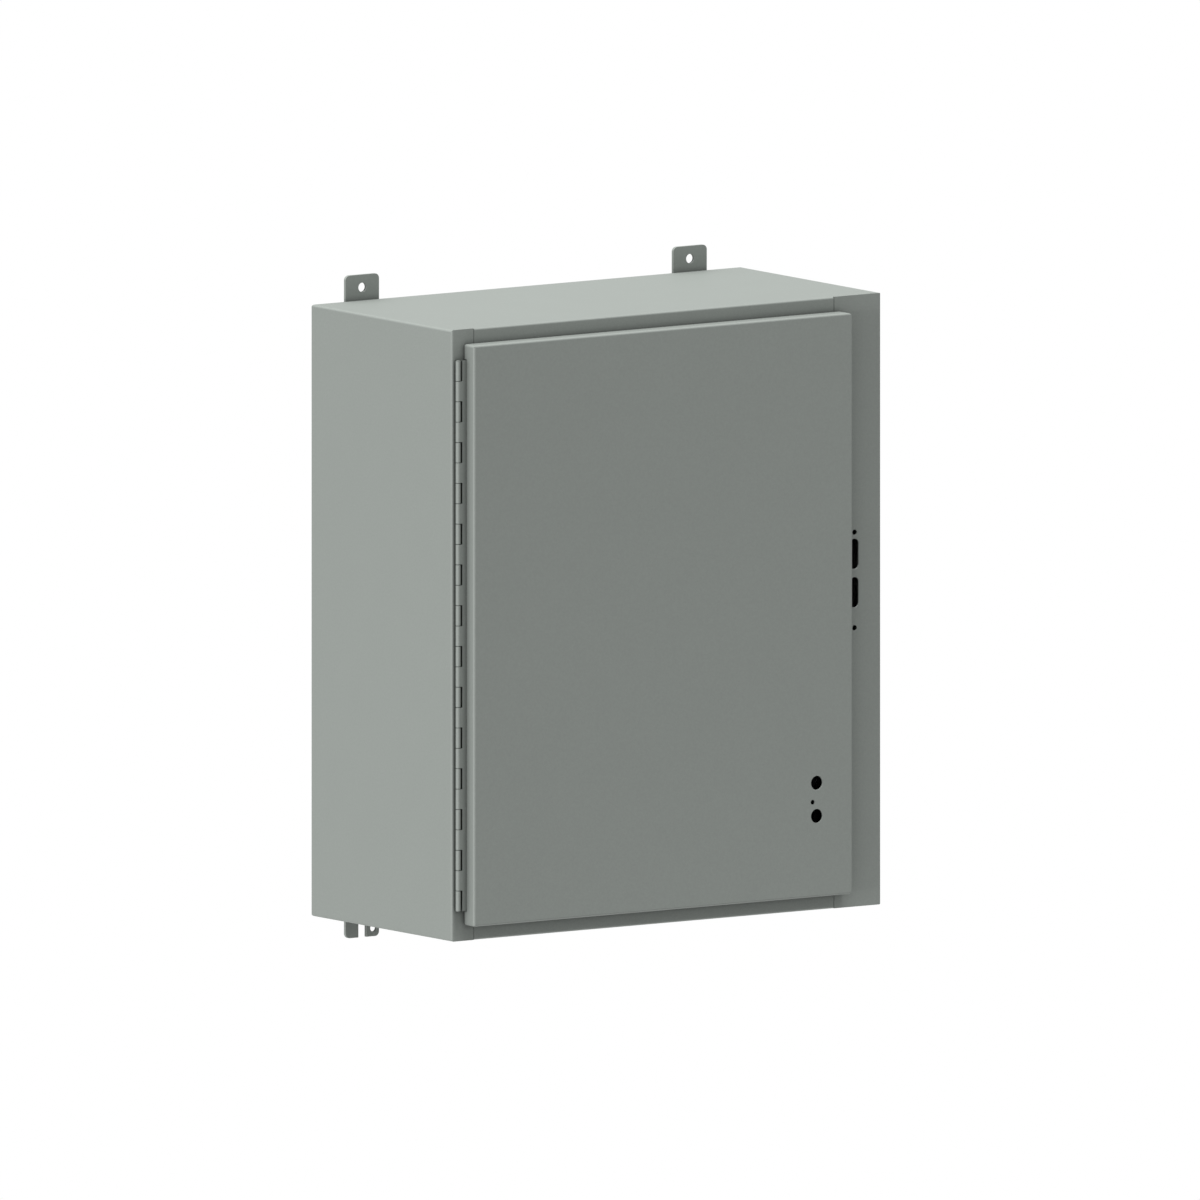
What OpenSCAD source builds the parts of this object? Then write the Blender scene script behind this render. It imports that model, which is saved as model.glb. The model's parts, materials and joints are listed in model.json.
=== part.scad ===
// Wall-mount disconnect enclosure: a welded sheet-steel box with one left-hinged door, a
// continuous hinge, a three-point latch behind the door and a mounting panel on studs.
// Sizes are in millimetres. X runs to the right, Z runs up and the front faces -Y. The origin
// is on the wall, midway between the bolt holes of the two upper feet.

/* [Box] */
// Width over the side panels
box_w = 644.5; // [620:0.5:700]
// Height, without the feet
box_h = 762; // [700:1:900]
// Depth from the back to the front of the stiles
box_d = 304.8; // [200:0.1:400]
// Thickness of the body and door sheet
sheet = 1.9; // [1.5:0.1:2.2]
// Outer radius of the bends in the body
body_bend_r = 2.6; // [2.4:0.1:6]
// Radius to which the welded edges along the depth are ground
ground_r = 3; // [2:0.1:4]

/* [Door opening] */
// Width of the left stile
left_stile_w = 33.3; // [31:0.1:38]
// Width of the right stile, which carries the disconnect cut-outs
right_stile_w = 70.5; // [68:0.1:80]
// Height of the rails above and below the opening
rail_h = 33.3; // [30:0.1:38]
// How far the lip round the opening stands in front of the stiles
lip_h = 12; // [8:0.1:13]
// Open seam between the stiles and the rails
seam = 0.7; // [0.4:0.1:1]

/* [Feet] */
// Width of a foot
foot_w = 50; // [40:1:70]
// Thickness of a foot
foot_t = 3.8; // [3:0.1:5]
// How far a foot reaches past the box
foot_reach = 31.75; // [28:0.05:40]
// Length of a foot that is welded to the back
foot_lap = 50; // [30:1:80]
// Radius of a foot's free corners
foot_r = 6; // [2:0.5:8]
// Distance between the left and right feet
foot_spacing = 492.1; // [400:0.1:520]
// Diameter of an upper foot's hole, and width of a lower foot's slot
foot_hole_d = 11.9; // [9:0.1:12]
// Distance of the upper holes and of the slot ends from the box
foot_hole_rise = 15.875; // [14:0.125:18]
// Diameter of the second hole in a lower foot
side_hole_d = 9.5; // [6:0.1:10]
// Offset of that hole to the right of the slot
side_hole_x = 16.6; // [16:0.1:18]
// Distance of that hole below the box
side_hole_drop = 21.4; // [18:0.1:24]

/* [Door] */
// Stile left free beside the door at the hinge
door_left_margin = 18; // [17.5:0.1:21]
// Stile left free beside the door at the latch
door_right_margin = 57.8; // [55:0.1:60]
// Rail left free above the door
door_top_margin = 18.5; // [18:0.5:21]
// Rail left free below the door
door_bottom_margin = 19.5; // [18:0.5:21]
// Gap between the door's edge and the stiles
door_gap = 2; // [1:0.1:3]
// Depth of the door pan
door_depth = 20.6; // [20:0.1:24]
// Outer radius of the door's bends
door_bend_r = 2.6; // [2.4:0.1:7]
// Radius of the door's two corners on the hinge side
door_hinge_corner_r = 3; // [3:0.1:7]
// Radius of the door's two corners on the latch side
door_latch_corner_r = 7; // [3:0.1:7]

/* [Handle holes] */
// Diameter of the two handle holes
handle_hole_d = 17.5; // [14:0.1:20]
// Distance of the handle holes from the door's latch edge
handle_inset = 54; // [52:0.1:60]
// Height of the upper handle hole above the bottom of the box
handle_rise = 161.8; // [150:0.1:300]
// Distance between the two handle holes
handle_spacing = 41.3; // [38:0.1:45]
// Diameter of the small locating hole
pilot_d = 6; // [4:0.1:7]
// Offset of the locating hole to the left of the handle holes
pilot_dx = 6.2; // [4:0.1:10]
// Drop of the locating hole below the upper handle hole
pilot_dz = 23.8; // [18:0.1:26]

/* [Disconnect cut-outs] */
// Width of a slot in the right stile
slot_w = 11.9; // [9:0.1:14]
// Height of a slot
slot_h = 38.1; // [30:0.1:42]
// Distance of the cut-outs from the right side of the box
slot_inset = 39.6; // [36:0.1:46]
// Distance between the two slots
slot_spacing = 47.9; // [45:0.1:60]
// Height of the middle of the slots above the bottom of the box
slot_rise = 415.5; // [300:0.1:500]
// Diameter of the operator's two screw holes
screw_hole_d = 6.8; // [4:0.1:8]
// Distance between the two screw holes
screw_hole_spacing = 119.1; // [110:0.1:140]
// Height of the middle of the screw holes above the bottom of the box
screw_hole_rise = 406.8; // [300:0.1:500]

/* [Hinge] */
// Distance of the hinge axis from the left side of the box
hinge_inset = 7.3; // [6:0.1:8]
// Height of the hinge's lower end above the bottom of the box
hinge_rise = 38.1; // [30:0.1:60]
// Number of knuckles
knuckle_n = 27; // [21:2:27]
// Spacing of the knuckles
knuckle_pitch = 25.4; // [20:0.1:25.4]
// Gap between two knuckles
knuckle_gap = 0.8; // [0.3:0.05:0.9]
// Slit between a knuckle and the other leaf
knuckle_slit = 1; // [0.5:0.1:1.2]
// Outer diameter of a knuckle
knuckle_d = 6.6; // [6:0.1:7]
// Diameter of the hinge pin
pin_d = 3.4; // [3:0.1:3.6]
// Thickness of a hinge leaf
leaf_t = 1.5; // [1.2:0.1:1.6]

/* [Mounting panel] */
// Width of the mounting panel
panel_w = 533.4; // [480:0.1:536]
// Height of the mounting panel
panel_h = 685.8; // [600:0.1:690]
// Thickness of the panel's steel
panel_t = 2.7; // [2:0.1:3]
// Depth of the flanges that stiffen the panel
panel_flange = 10; // [8:0.5:11]
// Height of the collars that hold the panel off the back
panel_standoff = 12.7; // [12:0.1:20]
// Distance of the studs from the panel's edges
stud_inset = 19; // [17:0.5:30]
// Diameter of the panel studs
stud_d = 9.5; // [8:0.1:10]
// Length of the panel studs from the back
stud_l = 38; // [32:1:45]

/* [Door fittings] */
// Width of the gasket
gasket_w = 12; // [10:0.5:12]
// Gap between the gasket and the lip
gasket_clear = 0.4; // [0.3:0.1:1]
// Depth of the stiffener on the door
stiffener_depth = 12; // [8:0.5:13]
// Width of the stiffener's web
stiffener_w = 30; // [20:1:50]
// Distance of the stiffener from the door's hinge edge
stiffener_inset = 95; // [60:1:120]
// Width inside the print pocket
pocket_w = 255; // [180:1:280]
// Height of the print pocket
pocket_h = 220; // [150:1:260]
// Depth of the print pocket
pocket_depth = 24; // [18:1:26]
// Wall of the print pocket
pocket_wall = 2.5; // [2:0.1:3]
// Distance of the pocket's middle from the door's hinge edge
pocket_inset = 290; // [285:1:300]
// Height of the pocket's bottom above the bottom of the box
pocket_rise = 330; // [200:1:420]

/* [Latch] */
// Length of the cam's tongue from its axis
tongue_l = 62; // [58:1:64]
// Width of the tongue
tongue_w = 22; // [16:1:26]
// Thickness of the cam plate
cam_t = 4; // [3:0.5:5]
// Diameter of the cam's hub
hub_d = 20; // [18:0.5:22]
// Side of the square socket for the handle's shaft
socket_w = 9.7; // [8:0.1:10]
// Distance of the rod pins from the cam's axis
crank_r = 18; // [16:0.5:20]
// Diameter of the rod pins
crank_pin_d = 8; // [6:0.5:8]
// Thickness of the latch bracket
bracket_t = 3; // [2:0.5:3]
// Width of the latch bracket
bracket_w = 50; // [44:1:54]
// Width of a latch rod
rod_w = 16; // [14:0.5:18]
// Thickness of a latch rod
rod_t = 6; // [5:0.5:7]
// Width of a latch roller
roller_w = 8; // [6:0.5:9]
// Diameter of a roller's axle
axle_d = 3.2; // [2:0.1:3.4]

/* [Hidden] */
$fn = 64;

// Colours
paint = [0.53, 0.56, 0.53];
white_paint = [0.92, 0.92, 0.9];
zinc = [0.7, 0.71, 0.72];
black_steel = [0.09, 0.09, 0.1];
rubber = [0.07, 0.07, 0.07];
plastic = [0.62, 0.64, 0.62];

// Clearances
fit = 0.05;      // radial clearance round a pin or in a bore
clear = 0.6;     // between parts that slide past each other
shade = 0.3;     // smallest gap between two moving bodies

// The box
left_x = -box_w / 2;
right_x = box_w / 2;
top_z = -foot_hole_rise;
bottom_z = top_z - box_h;
back_y = -foot_t;
face_y = back_y - box_d;          // front of the stiles
inner_back_y = back_y - sheet;
open_x = [left_x + left_stile_w, right_x - right_stile_w];
open_z = [bottom_z + rail_h, top_z - rail_h];

// A plane that lies f in front of the stiles
function fwd(f) = face_y - f;

// The door
door_x = [left_x + door_left_margin, right_x - door_right_margin];
door_z = [bottom_z + door_bottom_margin, top_z - door_top_margin];
door_front = door_gap + door_depth;
door_inner = door_front - sheet;   // the face that the fittings stand on

// The hinge
hinge_x = left_x + hinge_inset;
hinge_front = knuckle_d / 2 + shade;
hinge_z = [bottom_z + hinge_rise, bottom_z + hinge_rise + knuckle_n * knuckle_pitch];
leaf_x = hinge_x + knuckle_d / 2 + knuckle_slit;
body_leaf_end = left_x + 27;
door_leaf_end = left_x + 29;
door_leaf_front = hinge_front + knuckle_d / 2;

// The mounting panel, centred in the opening so that it goes in through it
panel_mid = [(open_x[0] + open_x[1]) / 2, (bottom_z + top_z) / 2];
panel_back_y = inner_back_y - panel_standoff;
panel_face_y = panel_back_y - panel_t;
stud_dx = panel_w / 2 - stud_inset;
stud_dz = panel_h / 2 - stud_inset;
washer_t = 1.6;
nut_af = 14.3;
nut_h = 8;

// Small threaded fittings
ground_stud_d = 6.3;
ground_nut_af = 11;
ground_nut_h = 5.5;
ground_z = bottom_z + 70;
ground_body_x = right_x - slot_inset;
ground_door_x = door_x[0] + 60;
small_stud_d = 4.8;
small_nut_af = 9.5;
small_nut_h = 4;

// The latch: planes in front of the stiles, so the ones inside the box are negative
cam_front = -sheet - 0.7;
bracket_back = cam_front + 1.6;
bracket_front = bracket_back + bracket_t;
hub_front = bracket_front + 4;
ring_front = bracket_front + shade + 1.2;
cam_back = cam_front - cam_t;
rod_front = cam_back - clear;
rod_back = rod_front - rod_t;
rod_mid = (rod_front + rod_back) / 2;
roller_r = -rod_mid - sheet - clear;
cam_x = door_x[1] - handle_inset;
cam_z = bottom_z + handle_rise;
pin_dx = crank_r * cos(45);
rod_dx = (crank_r + pin_dx) / 2;
throw = 2 * pin_dx;                // travel of a rod over the cam's quarter turn
roller_margin = 4;
upper_roller_z = open_z[1] - roller_r - roller_margin;
lower_roller_z = open_z[0] + roller_r + roller_margin;
yoke_w = 28;
yoke_h = 24;
yoke_slot_w = crank_pin_d + crank_r - pin_dx + 2 * clear;
yoke_slot_h = crank_pin_d + 2 * (clear + shade);
fork_w = roller_w + 2 * shade;
bracket_reach = [cam_z - handle_spacing - 24, cam_z + 36];
bracket_foot = 20;
guide_w = 28;
guide_t = 3;
guide_foot = 24;
upper_guide_z = [cam_z + 240, cam_z + 490];
lower_guide_z = cam_z - 95;

// Extrusions of a flat shape, drawn in the two axes that are left, in the order X, Y, Z
module along_x(x0, x1) {
    translate([x0, 0, 0]) rotate([90, 0, 90]) linear_extrude(x1 - x0) children();
}
module along_y(front_y, rear_y) {
    translate([0, rear_y, 0]) rotate([90, 0, 0]) linear_extrude(rear_y - front_y) children();
}
module along_z(z0, z1) {
    translate([0, 0, z0]) linear_extrude(z1 - z0) children();
}

// Flat shapes
module rect(a0, b0, a1, b1) {
    translate([a0, b0]) square([a1 - a0, b1 - b0]);
}
module rounded_rect(a0, b0, a1, b1, r) {
    rect(a0 + r, b0, a1 - r, b1);
    rect(a0, b0 + r, a1, b1 - r);
    for (a = [a0 + r, a1 - r], b = [b0 + r, b1 - r]) translate([a, b]) circle(r);
}
module obround(a, b, w, h) {
    rect(a - w / 2, b - h / 2 + w / 2, a + w / 2, b + h / 2 - w / 2);
    for (s = [-1, 1]) translate([a, b + s * (h - w) / 2]) circle(d = w);
}

// The section of a folded sheet of thickness t, along its middle line, with square bends of
// mean radius r at every inner point
module folded(points, t, r) {
    last = len(points) - 1;
    for (i = [0 : last - 1]) {
        way = points[i + 1] - points[i];
        dir = way / norm(way);
        from = i == 0 ? 0 : r;
        to = norm(way) - (i == last - 1 ? 0 : r);
        translate(points[i] + dir * from)
            rotate(atan2(dir[1], dir[0]))
                translate([0, -t / 2]) square([to - from, t]);
    }
    for (i = [1 : last - 1]) {
        d1 = (points[i] - points[i - 1]) / norm(points[i] - points[i - 1]);
        d2 = (points[i + 1] - points[i]) / norm(points[i + 1] - points[i]);
        reach = 2 * (r + t);
        translate(points[i] - d1 * r + d2 * r) intersection() {
            difference() {
                circle(r + t / 2);
                circle(r - t / 2);
            }
            polygon([[0, 0], d1 * reach, (d1 - d2) * reach, -d2 * reach]);
        }
    }
}

// A hex nut on a stud that runs along Y, with its rear face at rear_y. Both ends of the nut
// are chamfered at 30 degrees, so that only its six corners are cut.
module nut_y(x, z, rear_y, af, h, bore_d) {
    face_r = 0.48 * af;
    translate([x, rear_y, z]) rotate([90, 0, 0]) difference() {
        intersection() {
            cylinder(d = af / cos(30), h = h, $fn = 6);
            cylinder(r1 = face_r + h * tan(60), r2 = face_r, h = h);
            cylinder(r1 = face_r, r2 = face_r + h * tan(60), h = h);
        }
        translate([0, 0, -1]) cylinder(d = bore_d, h = h + 2);
    }
}

// ---- The box ----

body_r = body_bend_r - sheet / 2;

// The space that the ground edges leave for the sheets of the box
module ground_volume() {
    along_y(fwd(lip_h) - 1, back_y + 1) rounded_rect(left_x, bottom_z, right_x, top_z, ground_r);
}

// Top, back and bottom in one sheet, which turns down into the rails and the lip
module body_wrap() {
    t = sheet / 2;
    ends = [[left_x + sheet, open_x[0] + seam / 2], [open_x[1] - seam / 2, right_x - sheet]];
    color(paint) intersection() {
        ground_volume();
        union() {
            along_x(open_x[0] + seam / 2, open_x[1] - seam / 2)
                folded([
                    [fwd(lip_h), open_z[1] + t], [face_y + t, open_z[1] + t],
                    [face_y + t, top_z - t], [back_y - t, top_z - t],
                    [back_y - t, bottom_z + t], [face_y + t, bottom_z + t],
                    [face_y + t, open_z[0] - t], [fwd(lip_h), open_z[0] - t]
                ], sheet, body_r);
            for (x = ends)
                along_x(x[0], x[1])
                    folded([
                        [face_y + sheet, top_z - t], [back_y - t, top_z - t],
                        [back_y - t, bottom_z + t], [face_y + sheet, bottom_z + t]
                    ], sheet, body_r);
        }
    }
}

// A side wall with its stile and lip: edge is the outer side, lip the opening's side
module side_panel(edge, lip) {
    way = lip > edge ? 1 : -1;
    t = sheet / 2;
    wall = [[edge + way * t, back_y], [edge + way * t, face_y + t]];
    stile = concat(wall, [[lip - way * seam / 2, face_y + t]]);
    lipped = concat(wall, [[lip - way * t, face_y + t], [lip - way * t, fwd(lip_h)]]);
    intersection() {
        ground_volume();
        union() {
            along_z(bottom_z, open_z[0] - sheet) folded(stile, sheet, body_r);
            along_z(open_z[0] - sheet, open_z[1] + sheet) folded(lipped, sheet, body_r);
            along_z(open_z[1] + sheet, top_z) folded(stile, sheet, body_r);
        }
        // The rear corners follow the bends of the wrap
        along_x(min(edge, lip) - 1, max(edge, lip) + 1) {
            rect(fwd(lip_h) - 1, bottom_z, back_y - body_bend_r, top_z);
            rect(back_y - body_bend_r, bottom_z + body_bend_r, back_y, top_z - body_bend_r);
            for (z = [bottom_z + body_bend_r, top_z - body_bend_r])
                translate([back_y - body_bend_r, z]) circle(body_bend_r);
        }
    }
}

module left_side_panel() {
    color(paint) side_panel(left_x, open_x[0]);
}

// The right stile is cut for the operating mechanism of a disconnect switch
module right_side_panel() {
    x = right_x - slot_inset;
    color(paint) difference() {
        side_panel(right_x, open_x[1]);
        along_y(fwd(1), fwd(-sheet - 1)) {
            for (s = [-1, 1])
                obround(x, bottom_z + slot_rise + s * slot_spacing / 2, slot_w, slot_h);
            for (s = [-1, 1])
                translate([x, bottom_z + screw_hole_rise + s * screw_hole_spacing / 2])
                    circle(d = screw_hole_d);
        }
    }
}

// ---- Feet ----

// A foot's outline, from the end welded to the back out to its rounded free end
module foot_outline(x, z_edge, up) {
    z_weld = z_edge - up * foot_lap;
    z_end = z_edge + up * foot_reach;
    rounded_rect(x - foot_w / 2, min(z_weld, z_end), x + foot_w / 2, max(z_weld, z_end), foot_r);
}

module upper_foot(x) {
    color(paint) along_y(-foot_t, 0) difference() {
        foot_outline(x, top_z, 1);
        translate([x, top_z + foot_hole_rise]) circle(d = foot_hole_d);
    }
}

// The slot is open at the bottom, so that the box is lowered onto two bolts
module lower_foot(x) {
    slot_end = bottom_z - foot_hole_rise;
    color(paint) along_y(-foot_t, 0) difference() {
        foot_outline(x, bottom_z, -1);
        translate([x, slot_end]) circle(d = foot_hole_d);
        rect(x - foot_hole_d / 2, bottom_z - foot_reach - 1, x + foot_hole_d / 2, slot_end);
        translate([x + side_hole_x, bottom_z - side_hole_drop]) circle(d = side_hole_d);
    }
}

// ---- Hinge ----

// A leaf with every second knuckle, counted from the bottom: f is the leaf's rear plane
module hinge_leaf(first, f, x_end) {
    difference() {
        union() {
            along_z(hinge_z[0], hinge_z[1]) rect(leaf_x, fwd(f + leaf_t), x_end, fwd(f));
            for (i = [first : 2 : knuckle_n - 1]) {
                z = hinge_z[0] + i * knuckle_pitch;
                along_z(z + knuckle_gap / 2, z + knuckle_pitch - knuckle_gap / 2) {
                    translate([hinge_x, fwd(hinge_front)]) circle(d = knuckle_d);
                    rect(hinge_x, fwd(f + leaf_t), leaf_x + 1, fwd(f));
                }
            }
        }
        along_z(hinge_z[0] - 1, hinge_z[1] + 1)
            translate([hinge_x, fwd(hinge_front)]) circle(d = pin_d + 2 * fit);
    }
}

module hinge_body_leaf() {
    color(paint) hinge_leaf(0, 0, body_leaf_end);
}

module hinge_door_leaf() {
    color(paint) hinge_leaf(1, door_leaf_front - leaf_t, door_leaf_end);
}

// The pin, painted with the leaves and with a swaged head on each end knuckle
module hinge_pin() {
    head_h = 0.8;
    ends = [hinge_z[0] + knuckle_gap / 2, hinge_z[1] - knuckle_gap / 2];
    color(paint) translate([hinge_x, fwd(hinge_front), 0]) {
        along_z(ends[0] - head_h, ends[1] + head_h) circle(d = pin_d);
        for (z = [ends[0] - head_h, ends[1]]) along_z(z, z + head_h) circle(d = pin_d + 1.4);
    }
}

// ---- Mounting panel ----

// Repeats its children at the four studs
module at_studs() {
    for (sx = [-1, 1], sz = [-1, 1])
        translate([panel_mid[0] + sx * stud_dx, 0, panel_mid[1] + sz * stud_dz]) children();
}

module panel_studs() {
    color(zinc) at_studs() {
        along_y(inner_back_y - stud_l, inner_back_y) circle(d = stud_d);
        along_y(inner_back_y - panel_standoff, inner_back_y) circle(d = 16);
    }
}

// A flat plate with its two long edges folded back
module mounting_panel() {
    r = 4;
    y = panel_back_y - panel_t / 2;
    x = [panel_mid[0] - panel_w / 2 + panel_t / 2, panel_mid[0] + panel_w / 2 - panel_t / 2];
    color(white_paint) difference() {
        along_z(panel_mid[1] - panel_h / 2, panel_mid[1] + panel_h / 2)
            folded([
                [x[0], panel_back_y + panel_flange - panel_t], [x[0], y],
                [x[1], y], [x[1], panel_back_y + panel_flange - panel_t]
            ], panel_t, r);
        at_studs() along_y(panel_face_y - 1, panel_back_y + 1) circle(d = stud_d + 1.6);
    }
}

module panel_washers() {
    color(zinc) at_studs() along_y(panel_face_y - washer_t, panel_face_y) difference() {
        circle(d = 22);
        circle(d = stud_d + 0.6);
    }
}

module panel_nuts() {
    color(zinc) at_studs()
        nut_y(0, 0, panel_face_y - washer_t, nut_af, nut_h, stud_d + 2 * fit);
}

// ---- Ground studs ----

module body_ground_stud() {
    color(zinc) translate([ground_body_x, 0, ground_z]) {
        along_y(inner_back_y - 25, inner_back_y) circle(d = ground_stud_d);
        along_y(inner_back_y - 2, inner_back_y) circle(d = 12);
    }
}

module body_ground_nuts() {
    color(zinc) for (i = [0, 1])
        nut_y(ground_body_x, ground_z, inner_back_y - 4 - i * (ground_nut_h + 1.5),
              ground_nut_af, ground_nut_h, ground_stud_d + 2 * fit);
}

module door_ground_stud() {
    color(zinc) translate([ground_door_x, 0, ground_z]) {
        along_y(fwd(door_inner), fwd(door_inner - 22)) circle(d = ground_stud_d);
        along_y(fwd(door_inner), fwd(door_inner - 2)) circle(d = 12);
    }
}

module door_ground_nuts() {
    color(zinc) for (i = [0, 1])
        nut_y(ground_door_x, ground_z, fwd(door_inner - 4 - ground_nut_h - i * (ground_nut_h + 1.5)),
              ground_nut_af, ground_nut_h, ground_stud_d + 2 * fit);
}

// ---- Door ----

// The space inside a pan whose faces are moved in by inset
module pan_volume(inset, back) {
    x = [door_x[0] + inset, door_x[1] - inset];
    z = [door_z[0] + inset, door_z[1] - inset];
    front = door_front - inset;
    r = door_bend_r - inset;
    intersection() {
        along_y(fwd(front), fwd(back)) {
            rounded_rect(x[0], z[0], x[1] - 20, z[1], door_hinge_corner_r - inset);
            rounded_rect(x[0] + 20, z[0], x[1], z[1], door_latch_corner_r - inset);
        }
        along_z(z[0], z[1]) {
            rect(x[0] + r, fwd(front), x[1] - r, fwd(back));
            rect(x[0], fwd(front - r), x[1], fwd(back));
            for (a = [x[0] + r, x[1] - r]) translate([a, fwd(front - r)]) circle(r);
        }
        along_x(x[0], x[1]) {
            rect(fwd(front), z[0] + r, fwd(back), z[1] - r);
            rect(fwd(front - r), z[0], fwd(back), z[1]);
            for (b = [z[0] + r, z[1] - r]) translate([fwd(front - r), b]) circle(r);
        }
    }
}

module door_panel() {
    color(paint) difference() {
        pan_volume(0, door_gap);
        pan_volume(sheet, door_gap - 5);
        // The hinge leaf runs through a notch in the flange
        translate([door_x[0] - 1, fwd(door_leaf_front), hinge_z[0] - 1])
            cube([sheet + 3, door_leaf_front, hinge_z[1] - hinge_z[0] + 2]);
        along_y(fwd(door_front + 1), fwd(door_inner - 1)) {
            for (drop = [0, handle_spacing])
                translate([cam_x, cam_z - drop]) circle(d = handle_hole_d);
            translate([cam_x - pilot_dx, cam_z - pilot_dz]) circle(d = pilot_d);
        }
    }
}

// A foam strip round the door, centred on the lip that it closes on
module door_gasket() {
    w = gasket_w / 2;
    x = [open_x[0] - sheet / 2, open_x[1] + sheet / 2];
    z = [open_z[0] - sheet / 2, open_z[1] + sheet / 2];
    color(rubber) along_y(fwd(door_inner), fwd(lip_h + gasket_clear)) difference() {
        rounded_rect(x[0] - w, z[0] - w, x[1] + w, z[1] + w, 8);
        rounded_rect(x[0] + w, z[0] + w, x[1] - w, z[1] - w, 3);
    }
}

// A hat section down the hinge side of the door
module door_stiffener() {
    t = 1.5;
    flange = 12;
    x = door_x[0] + stiffener_inset;
    dx = stiffener_w / 2;
    y = [fwd(door_inner - t / 2), fwd(door_inner - stiffener_depth + t / 2)];
    color(paint) along_z(door_z[0] + 60, door_z[1] - 60)
        folded([
            [x - dx - flange, y[0]], [x - dx, y[0]], [x - dx, y[1]],
            [x + dx, y[1]], [x + dx, y[0]], [x + dx + flange, y[0]]
        ], t, 2.2);
}

// ---- Print pocket ----

pocket_x = door_x[0] + pocket_inset;
pocket_z = [bottom_z + pocket_rise, bottom_z + pocket_rise + pocket_h];
pocket_stud_dx = pocket_w / 2 + pocket_wall + 8;
pocket_stud_z = [pocket_z[0] + 25, pocket_z[1] - 25];

// A tray on the door, open at the top, with a finger notch and two screw flanges
module print_pocket() {
    half = pocket_w / 2;
    front = door_inner - pocket_depth;
    color(plastic) difference() {
        union() {
            along_y(fwd(door_inner), fwd(front))
                rect(pocket_x - half - pocket_wall, pocket_z[0],
                     pocket_x + half + pocket_wall, pocket_z[1]);
            along_y(fwd(door_inner), fwd(door_inner - pocket_wall))
                rounded_rect(pocket_x - half - pocket_wall - 16, pocket_z[0],
                             pocket_x + half + pocket_wall + 16, pocket_z[1], 5);
        }
        along_y(fwd(door_inner - pocket_wall), fwd(front + pocket_wall))
            rect(pocket_x - half, pocket_z[0] + pocket_wall, pocket_x + half, pocket_z[1] + 1);
        along_y(fwd(front + pocket_wall + 1), fwd(front - 1)) {
            translate([pocket_x, pocket_z[1] - 10]) circle(r = 30);
            rect(pocket_x - 30, pocket_z[1] - 10, pocket_x + 30, pocket_z[1] + 1);
        }
        at_pocket_studs()
            along_y(fwd(door_inner + 1), fwd(door_inner - pocket_wall - 1))
                circle(d = small_stud_d + 0.8);
    }
}

module at_pocket_studs() {
    for (s = [-1, 1], z = pocket_stud_z) translate([pocket_x + s * pocket_stud_dx, 0, z]) children();
}

module pocket_studs() {
    color(zinc) at_pocket_studs()
        along_y(fwd(door_inner), fwd(door_inner - 10)) circle(d = small_stud_d);
}

module pocket_nuts() {
    color(zinc) at_pocket_studs()
        nut_y(0, 0, fwd(door_inner - pocket_wall - small_nut_h),
              small_nut_af, small_nut_h, small_stud_d + 2 * fit);
}

// ---- Latch ----

// A hat bracket that carries the cam's hub behind the upper handle hole
module latch_bracket() {
    t = bracket_t / 2;
    z = bracket_reach;
    foot_y = fwd(door_inner - t);
    web_y = fwd(bracket_front - t);
    color(black_steel) difference() {
        along_x(cam_x - bracket_w / 2, cam_x + bracket_w / 2)
            folded([
                [foot_y, z[0] - bracket_foot], [foot_y, z[0] + t], [web_y, z[0] + t],
                [web_y, z[1] - t], [foot_y, z[1] - t], [foot_y, z[1] + bracket_foot]
            ], bracket_t, 4);
        along_y(fwd(bracket_front + 1), fwd(bracket_back - 1)) {
            translate([cam_x, cam_z]) circle(d = hub_d + 2 * fit);
            translate([cam_x, cam_z - handle_spacing]) circle(d = 22);
        }
        at_bracket_studs()
            along_y(fwd(door_inner + 1), fwd(door_inner - bracket_t - 1))
                circle(d = small_stud_d + 0.8);
    }
}

module at_bracket_studs() {
    for (s = [-1, 1], z = [bracket_reach[0] - 11, bracket_reach[1] + 11])
        translate([cam_x + s * 14, 0, z]) children();
}

module bracket_studs() {
    color(zinc) at_bracket_studs()
        along_y(fwd(door_inner), fwd(door_inner - 10)) circle(d = small_stud_d);
}

module bracket_nuts() {
    color(zinc) at_bracket_studs()
        nut_y(0, 0, fwd(door_inner - bracket_t - small_nut_h),
              small_nut_af, small_nut_h, small_stud_d + 2 * fit);
}

// The cam: a hub with a square socket, a round plate for the rod pins and a tongue. The
// tongue points up while the latch is open and turns to the right, behind the stile.
module latch_cam() {
    plate_r = crank_r + 8;
    color(black_steel) translate([cam_x, 0, cam_z]) difference() {
        union() {
            along_y(fwd(cam_front), fwd(cam_back)) {
                circle(plate_r);
                rect(-tongue_w / 2, 0, tongue_w / 2, tongue_l - tongue_w / 2);
                translate([0, tongue_l - tongue_w / 2]) circle(d = tongue_w);
            }
            along_y(fwd(bracket_back - shade), fwd(cam_front)) circle(d = hub_d + 8);
            along_y(fwd(hub_front), fwd(cam_front)) circle(d = hub_d);
        }
        along_y(fwd(hub_front + 1), fwd(cam_back - 1)) square(socket_w, center = true);
        along_y(fwd(ring_front), fwd(ring_front - 1.2)) difference() {
            circle(d = hub_d + 4);
            circle(d = hub_d - 2);
        }
        for (s = [-1, 1]) translate([s * pin_dx, 0, s * pin_dx])
            along_y(fwd(cam_front + 1), fwd(cam_back - 1)) circle(d = crank_pin_d - 2);
    }
}

// Two riveted pins that drive the rods, each with a head behind its rod
module cam_pins() {
    color(zinc) for (s = [-1, 1]) translate([cam_x + s * pin_dx, 0, cam_z + s * pin_dx]) {
        along_y(fwd(cam_front), fwd(cam_back)) circle(d = crank_pin_d - 2 - 2 * fit);
        along_y(fwd(cam_back), fwd(rod_back - clear)) circle(d = crank_pin_d);
        along_y(fwd(rod_back - clear), fwd(rod_back - clear - 1.5)) circle(d = crank_pin_d + 5);
    }
}

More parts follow.
